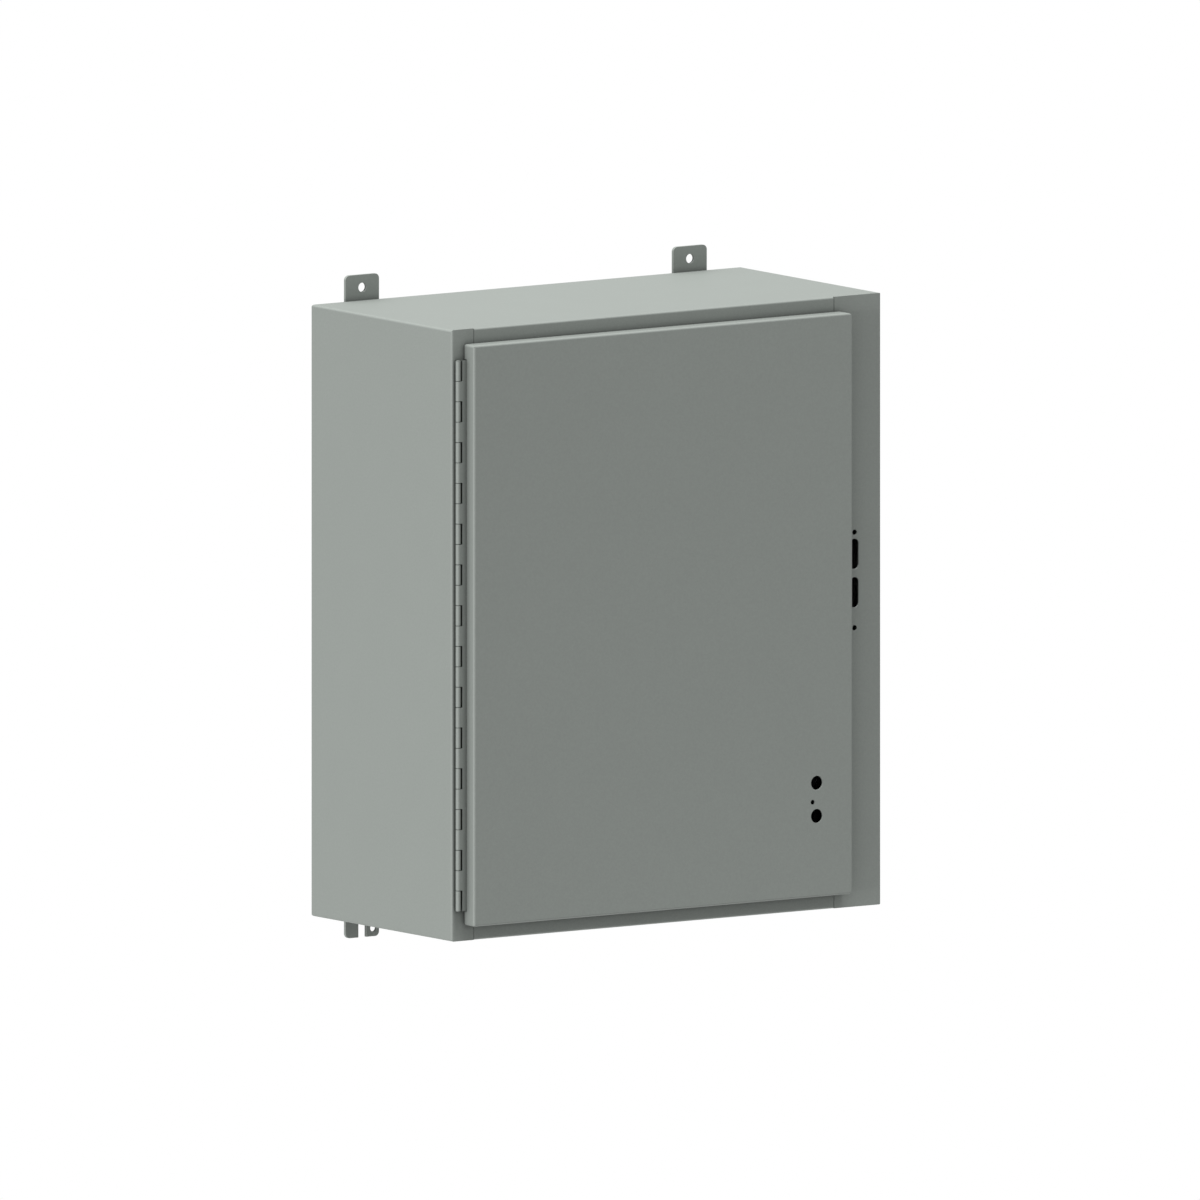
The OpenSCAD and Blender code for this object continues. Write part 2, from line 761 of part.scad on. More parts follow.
// A spring clip in the hub's groove
module cam_retaining_ring() {
    color(zinc) along_y(fwd(ring_front - fit), fwd(ring_front - 1.2 + fit))
        translate([cam_x, cam_z]) difference() {
            circle(d = hub_d + 7);
            circle(d = hub_d - 2 + 2 * fit);
            rect(-4, -hub_d, 4, 0);
        }
}

// A flat rod with a slotted yoke at the cam and a fork for its roller. It is drawn for the
// upper rod: side is -1 for the upper rod and 1 for the lower one, which is turned over.
module latch_rod(side, roller_z) {
    up = -side;
    pin_z = cam_z + side * pin_dx;
    x = cam_x + side * rod_dx;
    tip = roller_z + up * 5;
    slot_from = roller_z - up * (roller_r + clear);
    z = [min(pin_z, tip), max(pin_z, tip)];
    color(black_steel) difference() {
        along_y(fwd(rod_front), fwd(rod_back)) {
            rounded_rect(x - yoke_w / 2, pin_z - yoke_h / 2, x + yoke_w / 2, pin_z + yoke_h / 2, 5);
            rect(x - rod_w / 2, z[0], x + rod_w / 2, z[1]);
        }
        // The slot, which is long enough for the pin's swing
        along_y(fwd(rod_front + 1), fwd(rod_back - 1)) {
            rect(x - yoke_slot_w / 2, pin_z - yoke_slot_h / 2,
                 x + yoke_slot_w / 2, pin_z + yoke_slot_h / 2);
            rect(x - fork_w / 2, min(slot_from, tip + up), x + fork_w / 2, max(slot_from, tip + up));
        }
        along_x(x - rod_w, x + rod_w)
            translate([fwd(rod_mid), roller_z]) circle(d = axle_d + 2 * fit);
    }
}

module roller_axle(side, roller_z) {
    x = cam_x + side * rod_dx;
    head = 1.4;
    half = rod_w / 2 + shade;
    color(zinc) {
        along_x(x - half - head, x + half + head)
            translate([fwd(rod_mid), roller_z]) circle(d = axle_d);
        for (a = [x - half - head, x + half])
            along_x(a, a + head) translate([fwd(rod_mid), roller_z]) circle(d = axle_d + 2.5);
    }
}

// A roller with chamfered rims
module roller(side, roller_z) {
    x = cam_x + side * rod_dx;
    rim = 0.8;
    bore_r = axle_d / 2 + 0.08;
    w = roller_w / 2;
    color(zinc) translate([x, fwd(rod_mid), roller_z]) rotate([0, 90, 0]) rotate_extrude()
        polygon([
            [bore_r, -w], [roller_r - rim, -w], [roller_r, -w + rim],
            [roller_r, w - rim], [roller_r - rim, w], [bore_r, w]
        ]);
}

// An angle welded to the door, with a window that a rod slides through. Its foot runs up the
// door where way is 1, and down where it is -1.
module rod_guide(x, z, way) {
    foot_y = fwd(door_inner - guide_t / 2);
    half = rod_w / 2 + clear;
    color(paint) difference() {
        along_x(x - guide_w / 2, x + guide_w / 2)
            folded([[foot_y, z + way * guide_foot], [foot_y, z], [fwd(rod_back - 4), z]], guide_t, 4);
        along_z(z - guide_t, z + guide_t)
            rect(x - half, fwd(rod_front + clear), x + half, fwd(rod_back - clear));
    }
}

module upper_rod_guides() {
    for (z = upper_guide_z) rod_guide(cam_x - rod_dx, z, 1);
}

module lower_rod_guide() {
    rod_guide(cam_x + rod_dx, lower_guide_z, -1);
}

body_wrap();
left_side_panel();
right_side_panel();
upper_foot(-foot_spacing / 2);  // upper_left_foot
upper_foot(foot_spacing / 2);  // upper_right_foot
lower_foot(-foot_spacing / 2);  // lower_left_foot
lower_foot(foot_spacing / 2);  // lower_right_foot
hinge_body_leaf();
hinge_pin();
panel_studs();
mounting_panel();
panel_washers();
panel_nuts();
body_ground_stud();
body_ground_nuts();
door_panel();
hinge_door_leaf();
door_gasket();
door_stiffener();
print_pocket();
pocket_studs();
pocket_nuts();
door_ground_stud();
door_ground_nuts();
latch_bracket();
bracket_studs();
bracket_nuts();
upper_rod_guides();
lower_rod_guide();
latch_cam();
cam_pins();
cam_retaining_ring();
latch_rod(-1, upper_roller_z);  // upper_latch_rod
roller_axle(-1, upper_roller_z);  // upper_roller_axle
roller(-1, upper_roller_z);  // upper_roller
latch_rod(1, lower_roller_z);  // lower_latch_rod
roller_axle(1, lower_roller_z);  // lower_roller_axle
roller(1, lower_roller_z);  // lower_roller
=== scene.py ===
"""The looks of a wall-mount disconnect enclosure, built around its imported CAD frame.

Everything is in metres and in the frame's own axes: X to the right, Z up, the front towards -Y.
"""

import json
import math

import bmesh
import bpy
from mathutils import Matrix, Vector


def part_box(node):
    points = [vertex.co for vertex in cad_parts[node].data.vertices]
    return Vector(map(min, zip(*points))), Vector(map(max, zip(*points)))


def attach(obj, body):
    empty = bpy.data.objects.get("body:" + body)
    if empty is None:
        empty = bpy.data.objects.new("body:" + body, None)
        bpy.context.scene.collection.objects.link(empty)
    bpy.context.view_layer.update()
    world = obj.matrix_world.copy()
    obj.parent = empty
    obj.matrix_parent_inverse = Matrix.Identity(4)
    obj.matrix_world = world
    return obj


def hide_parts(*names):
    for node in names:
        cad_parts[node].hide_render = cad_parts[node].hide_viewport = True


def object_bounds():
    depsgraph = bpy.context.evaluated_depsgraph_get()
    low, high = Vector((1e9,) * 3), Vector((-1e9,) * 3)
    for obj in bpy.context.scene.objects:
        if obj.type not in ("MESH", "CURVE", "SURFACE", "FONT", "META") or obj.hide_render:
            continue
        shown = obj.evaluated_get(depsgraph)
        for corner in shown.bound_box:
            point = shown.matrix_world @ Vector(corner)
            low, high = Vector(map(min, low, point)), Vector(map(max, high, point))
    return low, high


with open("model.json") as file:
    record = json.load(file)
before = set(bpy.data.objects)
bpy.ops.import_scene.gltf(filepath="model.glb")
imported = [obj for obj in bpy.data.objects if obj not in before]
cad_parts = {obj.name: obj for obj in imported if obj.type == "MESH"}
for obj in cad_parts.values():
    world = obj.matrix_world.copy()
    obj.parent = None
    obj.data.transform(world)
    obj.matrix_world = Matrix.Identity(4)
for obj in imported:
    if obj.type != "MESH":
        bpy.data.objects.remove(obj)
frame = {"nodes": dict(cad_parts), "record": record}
CAD_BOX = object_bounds()
NODES = frame["nodes"]
MM = 0.001

# ---- Camera ----

AZIMUTH = math.radians(-34.6)
ELEVATION = math.radians(7.3)
FRAME_WIDTH = 1.483                      # how much of the world the square picture spans
CAMERA_DISTANCE = 4.0
CLIP_END = 50
AIM_OFFSET = Vector((-0.9 * MM, 0, 6.5 * MM))


def middle_of_object():
    """The middle of the box round every CAD piece."""
    return (CAD_BOX[0] + CAD_BOX[1]) / 2


def make_camera():
    """A parallel view from the upper left, aimed just above the middle of the object."""
    target = middle_of_object() + AIM_OFFSET
    back = Vector((
        math.sin(AZIMUTH) * math.cos(ELEVATION),
        -math.cos(AZIMUTH) * math.cos(ELEVATION),
        math.sin(ELEVATION),
    ))
    data = bpy.data.cameras.new("camera")
    data.type = "ORTHO"
    data.ortho_scale = FRAME_WIDTH
    data.clip_end = CLIP_END
    camera = bpy.data.objects.new("camera", data)
    camera.location = target + back * CAMERA_DISTANCE
    camera.rotation_euler = (-back).to_track_quat("-Z", "Y").to_euler()
    bpy.context.scene.collection.objects.link(camera)
    bpy.context.scene.camera = camera


# ---- Light and floor ----

WHITE = (1, 1, 1, 1)
DOME_LEVEL = 0.37
SUNS = (                                 # name, where it stands, strength, spread in degrees
    ("overhead", (0, -0.14, 1), 3.62, 16),
    ("left", (-1, -0.11, 0.02), 1.92, 12),
)
FLOOR_DROP = 1.5                         # below the middle of the object
FLOOR_RADIUS = 1.05
FLOOR_SEGMENTS = 96
FLOOR_GREYS = ((0.72, 0.72, 0.72), (0.76, 0.76, 0.76))


def make_world():
    """An even pale dome in front of a white background."""
    world = bpy.data.worlds.new("studio")
    world.use_nodes = True
    bpy.context.scene.world = world
    tree = world.node_tree
    tree.nodes.clear()
    new, link = tree.nodes.new, tree.links.new
    dome = new("ShaderNodeBackground")
    white = new("ShaderNodeBackground")
    path = new("ShaderNodeLightPath")
    mix = new("ShaderNodeMixShader")
    out = new("ShaderNodeOutputWorld")
    link(path.outputs["Is Camera Ray"], mix.inputs[0])
    link(dome.outputs[0], mix.inputs[1])
    link(white.outputs[0], mix.inputs[2])
    link(mix.outputs[0], out.inputs[0])
    dome.inputs["Color"].default_value = WHITE
    dome.inputs["Strength"].default_value = DOME_LEVEL
    white.inputs["Color"].default_value = WHITE


def soft_sun(name, direction, strength, spread):
    """A wide, far light that comes from that direction."""
    data = bpy.data.lights.new(name, "SUN")
    data.energy = strength
    data.angle = math.radians(spread)
    light = bpy.data.objects.new(name, data)
    light.rotation_euler = Vector(direction).to_track_quat("Z", "Y").to_euler()
    bpy.context.scene.collection.objects.link(light)


def make_floor():
    """A pale round floor, as far below as it is under a box hung on a wall."""
    mesh = bpy.data.meshes.new("floor")
    shape = bmesh.new()
    bmesh.ops.create_circle(shape, cap_ends=True, segments=FLOOR_SEGMENTS, radius=FLOOR_RADIUS)
    shape.to_mesh(mesh)
    shape.free()
    floor = bpy.data.objects.new("floor", mesh)
    floor.location = middle_of_object() - Vector((0, 0, FLOOR_DROP))
    bpy.context.scene.collection.objects.link(floor)
    mesh.materials.append(matte_floor())


# ---- Materials ----

PAINT_COLOUR = (0.310, 0.337, 0.315)
WHITE_COLOUR = (0.80, 0.80, 0.78)
ZINC_COLOUR = (0.62, 0.63, 0.65)
ZINC_BLUE = (0.60, 0.62, 0.66)
ZINC_YELLOW = (0.68, 0.66, 0.60)
BLACK_COLOUR = (0.026, 0.026, 0.029)
WORN_COLOUR = (0.16, 0.16, 0.16)
FOAM_COLOUR = (0.020, 0.020, 0.021)
PLASTIC_COLOUR = (0.30, 0.32, 0.31)

EDGE_RADIUS = 0.4 * MM                   # how far the shading rounds a sharp edge
EDGE_SAMPLES = 4
CREVICE_SAMPLES = 4
PAINTED_SHADE_REACHES = ((160 * MM, 0.60), (36 * MM, 0.68), (8 * MM, 0.42))   # painted shade near other surfaces: reach, share of tone left

TONE_SIZE = 60 * MM                      # powder coat: slow change of tone
TONE_CHANGE = 0.015
SPECKLE_SIZE = 2.6 * MM
PEEL_SIZE = 2.2 * MM                     # orange peel, and the finer relief upon it
FINE_PEEL_SIZE = 0.7 * MM
EDGE_THINNING = 0.3                      # how far the thin coat on an edge shows lighter
EDGE_LIGHTER = 1.25


class Surface:
    """A Principled material with object-space noises, in metres, to drive its sockets."""

    def __init__(self, name):
        self.material = bpy.data.materials.new(name)
        self.material.use_nodes = True
        self.tree = self.material.node_tree
        self.shader = self.tree.nodes["Principled BSDF"]
        self.coord = self.tree.nodes.new("ShaderNodeTexCoord").outputs["Object"]
        bevel = self.tree.nodes.new("ShaderNodeBevel")
        bevel.samples = EDGE_SAMPLES
        bevel.inputs["Radius"].default_value = EDGE_RADIUS
        self.rounded = bevel.outputs[0]
        self.normal = self.rounded

    def put(self, socket, value):
        """Sets a shader socket to one value all over."""
        self.shader.inputs[socket].default_value = value

    def noise(self, size, detail=2.0, rough=0.5, stretch=(1, 1, 1)):
        """A noise with features of about that size; stretch below 1 draws it out along an axis."""
        scale = self.tree.nodes.new("ShaderNodeMapping")
        scale.inputs["Scale"].default_value = stretch
        node = self.tree.nodes.new("ShaderNodeTexNoise")
        node.inputs["Scale"].default_value = 1 / size
        node.inputs["Detail"].default_value = detail
        node.inputs["Roughness"].default_value = rough
        self.tree.links.new(self.coord, scale.inputs["Vector"])
        self.tree.links.new(scale.outputs[0], node.inputs["Vector"])
        return node.outputs["Fac"]

    def cells(self, size):
        """The distance to the middle of the nearest cell, for foam and grain."""
        node = self.tree.nodes.new("ShaderNodeTexVoronoi")
        node.inputs["Scale"].default_value = 1 / size
        self.tree.links.new(self.coord, node.inputs["Vector"])
        return node.outputs["Distance"]

    def remap(self, value, low, high, to_low, to_high):
        """A value carried from one range to another and kept inside it."""
        node = self.tree.nodes.new("ShaderNodeMapRange")
        for socket, number in zip(node.inputs[1:5], (low, high, to_low, to_high)):
            socket.default_value = number
        self.tree.links.new(value, node.inputs["Value"])
        return node.outputs["Result"]

    def blend(self, value, colour_a, colour_b):
        """A colour between two, both of which may be a colour or another node's output."""
        node = self.tree.nodes.new("ShaderNodeMix")
        node.data_type = "RGBA"
        for socket, colour in ((node.inputs[6], colour_a), (node.inputs[7], colour_b)):
            if isinstance(colour, tuple):
                socket.default_value = (*colour, 1)
            else:
                self.tree.links.new(colour, socket)
        self.tree.links.new(value, node.inputs[0])
        return node.outputs[2]

    def colour(self, value):
        """Drives the base colour with a node's output."""
        self.tree.links.new(value, self.shader.inputs["Base Color"])

    def roughness(self, value):
        """Drives the roughness with a node's output."""
        self.tree.links.new(value, self.shader.inputs["Roughness"])

    def bump(self, value, depth, strength):
        """Adds a relief of that depth, on top of any that came before."""
        node = self.tree.nodes.new("ShaderNodeBump")
        node.inputs["Distance"].default_value = depth
        node.inputs["Strength"].default_value = strength
        self.tree.links.new(value, node.inputs["Height"])
        self.tree.links.new(self.normal, node.inputs["Normal"])
        self.normal = node.outputs[0]
        self.tree.links.new(self.normal, self.shader.inputs["Normal"])

    def edges(self):
        """1 along sharp edges, 0 on flat faces."""
        geometry = self.tree.nodes.new("ShaderNodeNewGeometry")
        dot = self.tree.nodes.new("ShaderNodeVectorMath")
        dot.operation = "DOT_PRODUCT"
        self.tree.links.new(self.rounded, dot.inputs[0])
        self.tree.links.new(geometry.outputs["Normal"], dot.inputs[1])
        return self.remap(dot.outputs["Value"], 1.0, 0.8, 0.0, 1.0)

    def open_air(self, reach):
        """1 where nothing stands within reach of the surface, down to 0 deep in a crevice."""
        node = self.tree.nodes.new("ShaderNodeAmbientOcclusion")
        node.samples = CREVICE_SAMPLES
        node.inputs["Distance"].default_value = reach
        return node.outputs["AO"]

    def times(self, colour_a, colour_b):
        """Two colour outputs multiplied."""
        node = self.tree.nodes.new("ShaderNodeMix")
        node.data_type = "RGBA"
        node.blend_type = "MULTIPLY"
        node.inputs[0].default_value = 1
        self.tree.links.new(colour_a, node.inputs[6])
        self.tree.links.new(colour_b, node.inputs[7])
        return node.outputs[2]


def shade(colour, factor):
    """The same colour, lighter or darker by that factor."""
    return tuple(c * factor for c in colour)


def matte_floor():
    """Matte pale grey with a faint cloud."""
    surface = Surface("studio_floor")
    cloud = surface.noise(250 * MM, detail=3)
    surface.colour(surface.blend(cloud, *FLOOR_GREYS))
    surface.put("Roughness", 0.9)
    return surface.material


def powder_coat(name, colour, roughness, peel_depth, speckle):
    """Baked powder: orange peel, a fine speckle, a slow change of tone, lighter edges, and painted
    shade that darkens the colour in crevices and near other surfaces."""
    surface = Surface(name)
    cloud = surface.noise(TONE_SIZE, detail=3)
    grain = surface.remap(surface.noise(SPECKLE_SIZE, detail=4, rough=0.7), 0.3, 0.7, 0, 1)
    slow = surface.blend(cloud, shade(colour, 1 - TONE_CHANGE), shade(colour, 1 + TONE_CHANGE))
    fine = surface.blend(grain, (1 - speckle,) * 3, (1 + speckle,) * 3)
    tone = surface.blend(surface.remap(surface.edges(), 0, 1, 0, EDGE_THINNING),
                         surface.times(slow, fine), shade(colour, EDGE_LIGHTER))
    # Painted shade: each pass darkens the colour where other surfaces stand within its reach, in
    # place of soft shadows and contact shade.
    for reach, left in PAINTED_SHADE_REACHES:
        painted_shade = surface.blend(surface.open_air(reach), (left,) * 3, (1.0, 1.0, 1.0))
        tone = surface.times(tone, painted_shade)
    surface.colour(tone)
    surface.roughness(surface.remap(grain, 0, 1, roughness - 0.04, roughness + 0.05))
    surface.bump(surface.noise(PEEL_SIZE, detail=3, rough=0.6), peel_depth, 0.5)
    surface.bump(surface.noise(FINE_PEEL_SIZE, detail=1), peel_depth * 0.3, 0.4)
    return surface.material


def zinc_plate():
    """Bright zinc: cloudy patches with faint yellow and blue, and fine scratches."""
    surface = Surface("zinc_plate")
    cloud = surface.noise(6 * MM, detail=4)
    warm = surface.blend(cloud, ZINC_BLUE, ZINC_YELLOW)
    surface.colour(surface.blend(surface.noise(1.2 * MM, detail=2), warm, ZINC_COLOUR))
    surface.put("Metallic", 1.0)
    surface.roughness(surface.remap(surface.noise(2 * MM, detail=4), 0.3, 0.7, 0.26, 0.42))
    surface.bump(surface.noise(0.4 * MM, detail=2, stretch=(1, 1, 0.15)), 0.03 * MM, 0.3)
    return surface.material


def black_oxide():
    """Oiled black oxide on steel, worn brighter along its edges."""
    surface = Surface("black_oxide")
    cloud = surface.noise(8 * MM, detail=4)
    base = surface.blend(cloud, shade(BLACK_COLOUR, 0.8), shade(BLACK_COLOUR, 1.3))
    worn = surface.remap(surface.edges(), 0.4, 1, 0, 0.5)
    surface.colour(surface.blend(worn, base, WORN_COLOUR))
    surface.put("Metallic", 0.55)
    surface.roughness(surface.remap(cloud, 0.3, 0.7, 0.38, 0.55))
    surface.bump(surface.noise(0.9 * MM, detail=3), 0.03 * MM, 0.4)
    return surface.material


def foam_rubber():
    """Closed-cell foam with a broken skin."""
    surface = Surface("foam_rubber")
    pores = surface.cells(0.9 * MM)
    surface.colour(surface.blend(pores, shade(FOAM_COLOUR, 0.6), shade(FOAM_COLOUR, 1.8)))
    surface.roughness(surface.remap(surface.noise(5 * MM), 0.3, 0.7, 0.8, 0.95))
    surface.bump(pores, 0.25 * MM, 0.6)
    surface.bump(surface.noise(9 * MM, detail=2), 0.4 * MM, 0.4)
    return surface.material


def moulded_plastic():
    """Grey thermoplastic with a spark-eroded grain."""
    surface = Surface("moulded_plastic")
    grain = surface.noise(0.8 * MM, detail=3, rough=0.7)
    tone = surface.noise(45 * MM, detail=2)
    surface.colour(surface.blend(tone, shade(PLASTIC_COLOUR, 0.96), shade(PLASTIC_COLOUR, 1.04)))
    surface.roughness(surface.remap(grain, 0.3, 0.7, 0.42, 0.56))
    surface.bump(grain, 0.06 * MM, 0.5)
    return surface.material


MATERIALS = {
    "grey_powder_coat": powder_coat("grey_powder_coat", PAINT_COLOUR, 0.55, 0.06 * MM, 0.05),
    "white_powder_coat": powder_coat("white_powder_coat", WHITE_COLOUR, 0.42, 0.04 * MM, 0.015),
    "zinc_steel": zinc_plate(),
    "black_steel": black_oxide(),
    "foam_rubber": foam_rubber(),
    "grey_plastic": moulded_plastic(),
}


def dress_cad_nodes():
    """Gives each CAD node the material of its slot in the record."""
    for part in frame["record"]["subparts"]:
        mesh = NODES[part["node"]].data
        mesh.materials.clear()
        mesh.materials.append(MATERIALS[part["material_slot"]])


# ---- Mesh work ----


def add_piece(name, shape, body, slot, replaced=()):
    """Turns a bmesh into an object that rides on a CAD body and wears that slot's material."""
    mesh = bpy.data.meshes.new(name)
    bmesh.ops.recalc_face_normals(shape, faces=shape.faces)
    shape.to_mesh(mesh)
    shape.free()
    piece = bpy.data.objects.new(name, mesh)
    bpy.context.scene.collection.objects.link(piece)
    mesh.materials.append(MATERIALS[slot])
    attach(piece, body)
    if replaced:
        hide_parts(*replaced)
    return piece


def skin(shape, rings, closed=False):
    """Joins rings of points into a tube. An open tube gets a cap at each end."""
    rows = [[shape.verts.new(point) for point in ring] for ring in rings]
    pairs = list(zip(rows, rows[1:]))
    if closed:
        pairs.append((rows[-1], rows[0]))
    for a, b in pairs:
        for i in range(len(a)):
            j = (i + 1) % len(a)
            shape.faces.new((a[i], a[j], b[j], b[i])).smooth = True
    if not closed:
        shape.faces.new(rows[0])
        shape.faces.new(rows[-1])


def ring_y(x, z, y, radius, segments, phase=0.0):
    """A ring round an axis that runs along Y; radius is a number or a function of the turn."""
    points = []
    for i in range(segments):
        turn = i / segments
        r = radius(turn) if callable(radius) else radius
        angle = math.tau * (turn + phase)
        points.append(Vector((x + r * math.cos(angle), y, z + r * math.sin(angle))))
    return points


def lathe_y(shape, x, z, profile, segments=32):
    """A turned solid on an axis along Y, from (y, radius) pairs."""
    skin(shape, [ring_y(x, z, y, radius, segments) for y, radius in profile])


THREAD_SEGMENTS = 24
THREAD_ROWS = 6                          # rings in one pitch
THREAD_DEPTH = 0.55                      # part of the pitch
TIP_CHAMFER = 0.8                        # part of the pitch


def threaded_rod(shape, x, z, root_y, tip_y, radius, pitch):
    """A rod with a real helical thread and a chamfered tip, from root_y forward to tip_y."""
    length = abs(tip_y - root_y)
    way = math.copysign(1, tip_y - root_y)
    count = int(length / pitch * THREAD_ROWS)
    chamfer = pitch * TIP_CHAMFER

    def crest(along, turn):
        """The radius at that distance from the root and that part of a turn."""
        saw = (along / pitch - turn) % 1
        cut = pitch * THREAD_DEPTH * (1 - abs(2 * saw - 1))
        tip = max(0, chamfer - (length - along))
        return min(radius - cut, radius - tip)

    rings = []
    for i in range(count + 1):
        along = length * i / count
        rings.append(ring_y(x, z, root_y + way * along,
                            lambda turn, a=along: crest(a, turn), THREAD_SEGMENTS))
    skin(shape, rings)


WELD_DISTANCE = 0.01 * MM                # vertices closer than this are one


def centres(node):
    """The middle, in X and Z, of each separate solid of a CAD node."""
    shape = bmesh.new()
    shape.from_mesh(NODES[node].data)
    bmesh.ops.remove_doubles(shape, verts=shape.verts, dist=WELD_DISTANCE)
    left = set(shape.verts)
    boxes = []
    while left:
        queue = [left.pop()]
        island = list(queue)
        while queue:
            for edge in queue.pop().link_edges:
                for vert in edge.verts:
                    if vert in left:
                        left.discard(vert)
                        queue.append(vert)
                        island.append(vert)
        xs = [v.co.x for v in island]
        zs = [v.co.z for v in island]
        boxes.append(((min(xs) + max(xs)) / 2, (min(zs) + max(zs)) / 2))
    shape.free()
    return sorted(boxes)


# ---- Threaded studs ----

PANEL_STUD = (4.75 * MM, 1.6 * MM)       # radius and pitch
GROUND_STUD = (3.15 * MM, 1.27 * MM)
SMALL_STUD = (2.4 * MM, 1.06 * MM)
COLLAR = (8 * MM, 12.7 * MM)             # radius and length
PAD = (6 * MM, 2 * MM)
BREAK = 0.6 * MM                         # chamfer on turned rims


def turned_base(shape, x, z, y, way, radius, length):
    """A collar or a weld pad at the root of a stud, with a fillet below and a chamfer above."""
    lathe_y(shape, x, z, [
        (y, radius + BREAK), (y + way * BREAK, radius),
        (y + way * (length - BREAK), radius), (y + way * length, radius - BREAK),
    ])


def stud_set(name, node, body, size, base=None):
    """Threaded studs in place of a CAD node's plain ones. They stand on the sheet behind them
    in the cabinet, and on the sheet in front of them on the door."""
    low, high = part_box(node)
    root, tip = (high.y, low.y) if body == "cabinet" else (low.y, high.y)
    way = math.copysign(1, tip - root)
    shape = bmesh.new()
    for x, z in centres(node):
        threaded_rod(shape, x, z, root, tip, *size)
        if base:
            turned_base(shape, x, z, root, way, *base)
    add_piece(name, shape, body, "zinc_steel", (node,))


# ---- Gasket ----

STEP_ALONG = 5 * MM
CORNER_RADIUS = 9 * MM                   # of the strip's middle line
CORNER_STEPS = 6
GASKET_HALF_WIDTH = 6 * MM
IMPRINT_DEPTH = 0.9 * MM
IMPRINT_WIDTH = 1.6 * MM
PROFILE_STEPS = 16                       # across the strip
JOIN_AT = 0.62                           # part of the way round where the bead's ends meet
JOIN_LENGTH = 2.2                        # in steps along the strip
CROWN = 2.6                              # higher makes the strip's section squarer


def loop_points(low, high, radius):
    """Points with their outward direction, evenly along a rectangle with round corners."""
    points = []
    corners = ((high.x, high.z, 0), (low.x, high.z, 1), (low.x, low.z, 2), (high.x, low.z, 3))
    for x, z, quarter in corners:
        inward = Vector((math.copysign(1, (low.x + high.x) / 2 - x), 0,
                         math.copysign(1, (low.z + high.z) / 2 - z)))
        middle = Vector((x, 0, z)) + inward * radius
        for i in range(CORNER_STEPS + 1):
            angle = (quarter + i / CORNER_STEPS) * math.pi / 2
            out = Vector((math.cos(angle), 0, math.sin(angle)))
            points.append((middle + out * radius, out))
    filled = []
    for (a, out_a), (b, out_b) in zip(points, points[1:] + points[:1]):
        steps = max(1, round((b - a).length / STEP_ALONG))
        for i in range(steps):
            t = i / steps
            filled.append((a.lerp(b, t), out_a.lerp(out_b, t).normalized()))
    return filled


def foam_gasket():
    """A strip foamed in place: a low crown that wanders a little, pressed in where the lip
    closes on it, with a swelling where the end of the bead runs over its start."""
    low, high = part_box("door_gasket")
    depth = high.y - low.y
    inset = Vector((GASKET_HALF_WIDTH, 0, GASKET_HALF_WIDTH))
    path = loop_points(low + inset, high - inset, CORNER_RADIUS)
    profile = [-1 + 2 * i / PROFILE_STEPS for i in range(PROFILE_STEPS + 1)]
    join = len(path) * JOIN_AT
    shape = bmesh.new()
    rings = []
    for i, (point, out) in enumerate(path):
        wander = math.sin(i * 0.71) + math.sin(i * 0.233 + 1) + math.sin(i * 0.117 + 2)
        swell = math.exp(-((i - join) / JOIN_LENGTH) ** 2)
        wide = GASKET_HALF_WIDTH * (0.955 + 0.012 * wander + 0.03 * swell)
        tall = depth * (0.93 + 0.01 * wander + 0.04 * swell)
        ring = []
        for s in profile:
            rise = (1 - abs(s) ** CROWN) ** 0.5
            press = IMPRINT_DEPTH * math.exp(-(s * GASKET_HALF_WIDTH / IMPRINT_WIDTH) ** 2)
            y = low.y + max(0.0, tall * rise - press)
            ring.append(Vector((point.x, y, point.z)) + out * wide * s)
        rings.append(ring)
    skin(shape, rings, closed=True)
    piece = add_piece("foam_gasket", shape, "door", "foam_rubber", ("door_gasket",))


# ---- Welds ----

BEAD_STEP = 0.45 * MM
BEAD_SIDES = 6                           # facets across a bead's face
RIPPLE = 2.3 * MM
WALL_WAY = Vector((0, 1, 0))             # from the front towards the wall


def weld_bead(shape, start, end, side_a, side_b, leg, phase):
    """A fillet bead in the corner between two faces: side_a and side_b run along the faces."""
    run = end - start
    count = int(run.length / BEAD_STEP)
    rings = []
    for i in range(count + 1):
        along = run.length * i / count
        ends = min(1, along / leg, (run.length - along) / leg)
        taper = 0.35 + 0.65 * math.sqrt(max(0.0, ends))
        scallop = abs(math.sin(math.pi * along / RIPPLE + phase))
        wander = 0.05 * math.sin(along / RIPPLE * 1.7 + phase * 3)
        size = leg * taper * (0.86 + 0.12 * scallop + wander)
        corner = start + run * (i / count)
        ring = [corner]
        for k in range(BEAD_SIDES + 1):
            angle = math.pi / 2 * k / BEAD_SIDES
            bulge = 0.78 + 0.14 * math.sin(2 * angle)
            reach = size * (1 if k in (0, BEAD_SIDES) else bulge)
            ring.append(corner + (side_a * math.cos(angle) + side_b * math.sin(angle)) * reach)
        rings.append(ring)
    skin(shape, rings)


FEET = ("upper_left_foot", "upper_right_foot", "lower_left_foot", "lower_right_foot")
FOOT_LEG = 3.0 * MM
FOOT_CORNER = 8 * MM                     # the bead ends where the foot's corner begins


def foot_welds():
    """A bead down each side of each foot, where it lies on the back of the box."""
    wrap_low, wrap_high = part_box("body_wrap")
    shape = bmesh.new()
    phase = 0.0
    for node in FEET:
        low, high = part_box(node)
        bottom = max(low.z + FOOT_CORNER, wrap_low.z + FOOT_CORNER / 2)
        top = min(high.z - FOOT_CORNER, wrap_high.z - FOOT_CORNER / 2)
        for x, way in ((low.x, -1), (high.x, 1)):
            phase += 0.7
            weld_bead(shape, Vector((x, low.y, bottom)), Vector((x, low.y, top)),
                      Vector((way, 0, 0)), WALL_WAY, FOOT_LEG, phase)
    add_piece("foot_welds", shape, "cabinet", "grey_powder_coat")


LIP_LEG = 1.8 * MM
LIP_BEAD_INSET = 1 * MM                  # from the lip's edge and from the stile


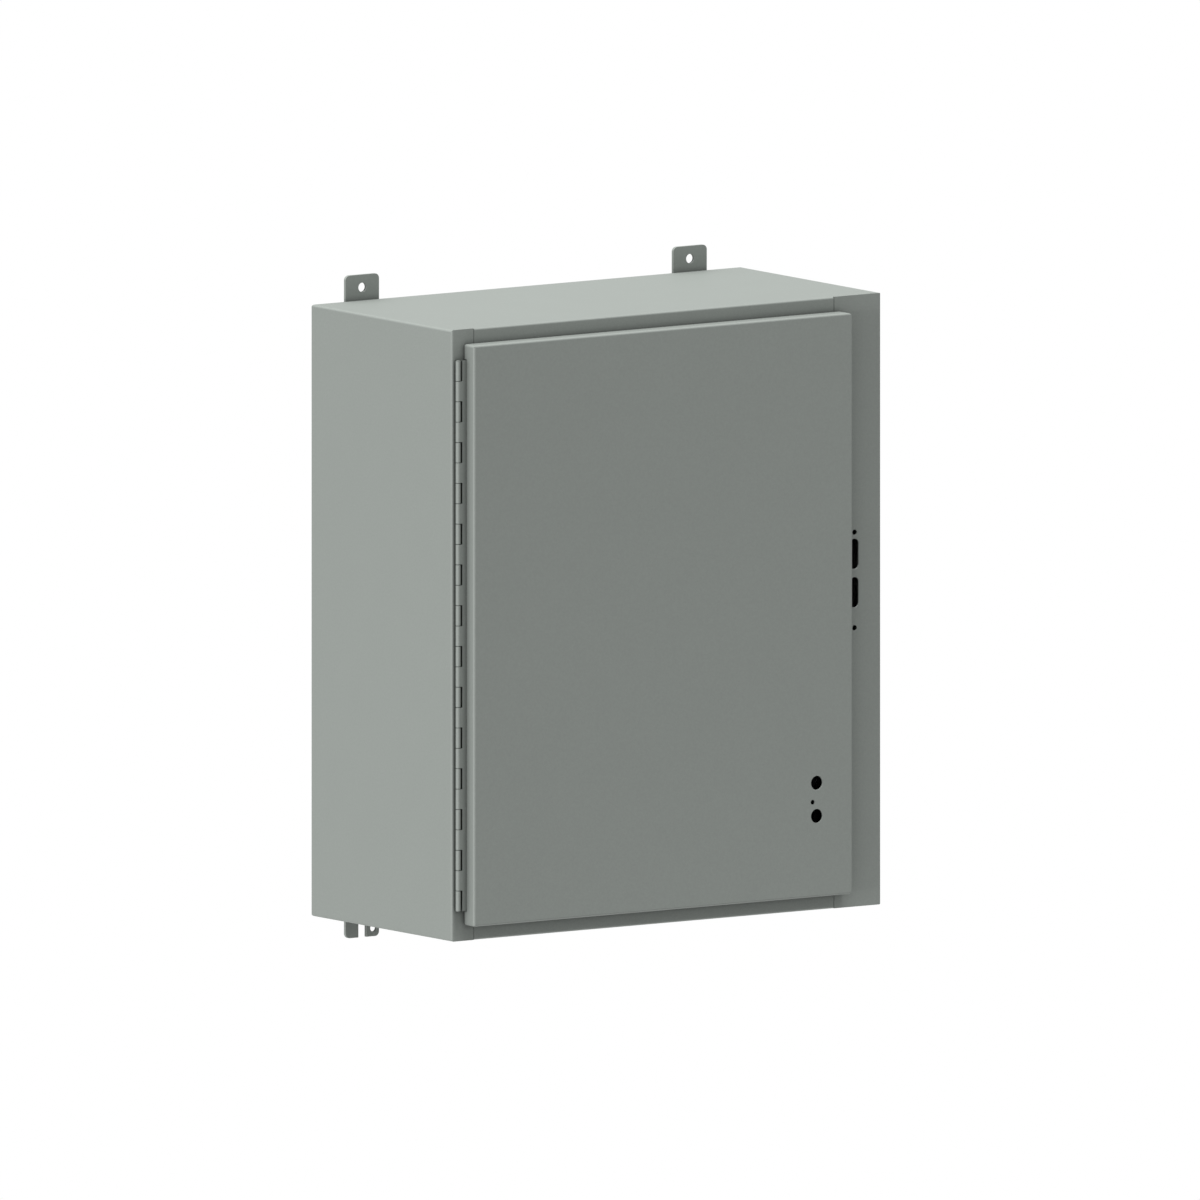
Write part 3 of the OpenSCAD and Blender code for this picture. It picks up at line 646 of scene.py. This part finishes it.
def lip_welds():
    """A short bead up each corner of the lip round the opening, on its inner side."""
    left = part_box("left_side_panel")[1].x
    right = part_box("right_side_panel")[0].x
    low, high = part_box("door_gasket")
    inset = (high.x - low.x - (right - left)) / 2
    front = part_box("body_wrap")[0].y + LIP_BEAD_INSET
    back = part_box("hinge_body_leaf")[1].y - LIP_BEAD_INSET
    shape = bmesh.new()
    for x, way_x in ((left, 1), (right, -1)):
        for z, way_z in ((low.z + inset, 1), (high.z - inset, -1)):
            weld_bead(shape, Vector((x, front, z)), Vector((x, back, z)),
                      Vector((way_x, 0, 0)), Vector((0, 0, way_z)), LIP_LEG, x + z)
    add_piece("lip_corner_welds", shape, "cabinet", "grey_powder_coat")


LEAF_LEG = 1.4 * MM
STITCH = 22 * MM
STITCHES = 8


def hinge_leaf_welds():
    """Stitches along the free edge of the hinge leaf that lies on the left stile."""
    low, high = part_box("hinge_body_leaf")
    pitch = (high.z - low.z) / STITCHES
    shape = bmesh.new()
    for i in range(STITCHES):
        start = Vector((high.x, high.y, low.z + pitch * (i + 0.5) - STITCH / 2))
        weld_bead(shape, start, start + Vector((0, 0, STITCH)),
                  Vector((1, 0, 0)), -WALL_WAY, LEAF_LEG, i)
    add_piece("hinge_leaf_welds", shape, "cabinet", "grey_powder_coat")


GUIDE_LEG = 2.2 * MM
GUIDE_BEAD = 14 * MM
GUIDE_BEAD_OFFSET = 3 * MM               # from the guide's middle, away from its bend


def guide_welds():
    """A bead down each side of the foot of each rod guide, which points up or down the door."""
    shape = bmesh.new()
    for node, way in (("upper_rod_guides", 1), ("lower_rod_guide", -1)):
        low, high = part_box(node)
        half = (high.x - low.x) / 2
        for x, z in centres(node):
            bottom = z + way * GUIDE_BEAD_OFFSET - GUIDE_BEAD / 2
            for side in (-1, 1):
                start = Vector((x + side * half, low.y, bottom))
                weld_bead(shape, start, start + Vector((0, 0, GUIDE_BEAD)),
                          Vector((side, 0, 0)), WALL_WAY, GUIDE_LEG, side + z)
    add_piece("rod_guide_welds", shape, "door", "grey_powder_coat")


SPOT_RADIUS = 2.6 * MM
SPOT_PITCH = 75 * MM
STIFFENER_SHEET = 1.5 * MM
SPOT_SECTION = (                         # height over the flange, radius less SPOT_RADIUS
    (-0.1 * MM, 0.5 * MM),
    (0.16 * MM, 0),
    (0.16 * MM, -0.5 * MM),
    (0.05 * MM, -1.1 * MM),
)


def spot_welds():
    """Shallow rings left by spot welding along the two flanges of the door's stiffener."""
    low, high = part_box("door_stiffener")
    flange_y = low.y + STIFFENER_SHEET
    section = [(flange_y + height, SPOT_RADIUS + more) for height, more in SPOT_SECTION]
    shape = bmesh.new()
    count = int((high.z - low.z) / SPOT_PITCH)
    first = (low.z + high.z - (count - 1) * SPOT_PITCH) / 2
    for x in (low.x + SPOT_RADIUS * 2, high.x - SPOT_RADIUS * 2):
        for i in range(count):
            lathe_y(shape, x, first + i * SPOT_PITCH, section)
    add_piece("stiffener_spot_welds", shape, "door", "grey_powder_coat")


make_camera()
make_world()
for sun in SUNS:
    soft_sun(*sun)
make_floor()
dress_cad_nodes()
stud_set("panel_stud_threads", "panel_studs", "cabinet", PANEL_STUD, COLLAR)
stud_set("body_ground_thread", "body_ground_stud", "cabinet", GROUND_STUD, PAD)
stud_set("door_ground_thread", "door_ground_stud", "door", GROUND_STUD, PAD)
stud_set("pocket_stud_threads", "pocket_studs", "door", SMALL_STUD)
stud_set("bracket_stud_threads", "bracket_studs", "door", SMALL_STUD)
foam_gasket()
foot_welds()
lip_welds()
hinge_leaf_welds()
guide_welds()
spot_welds()

scene = bpy.context.scene
scene.view_settings.view_transform = "Standard"
scene.view_settings.look = "None"
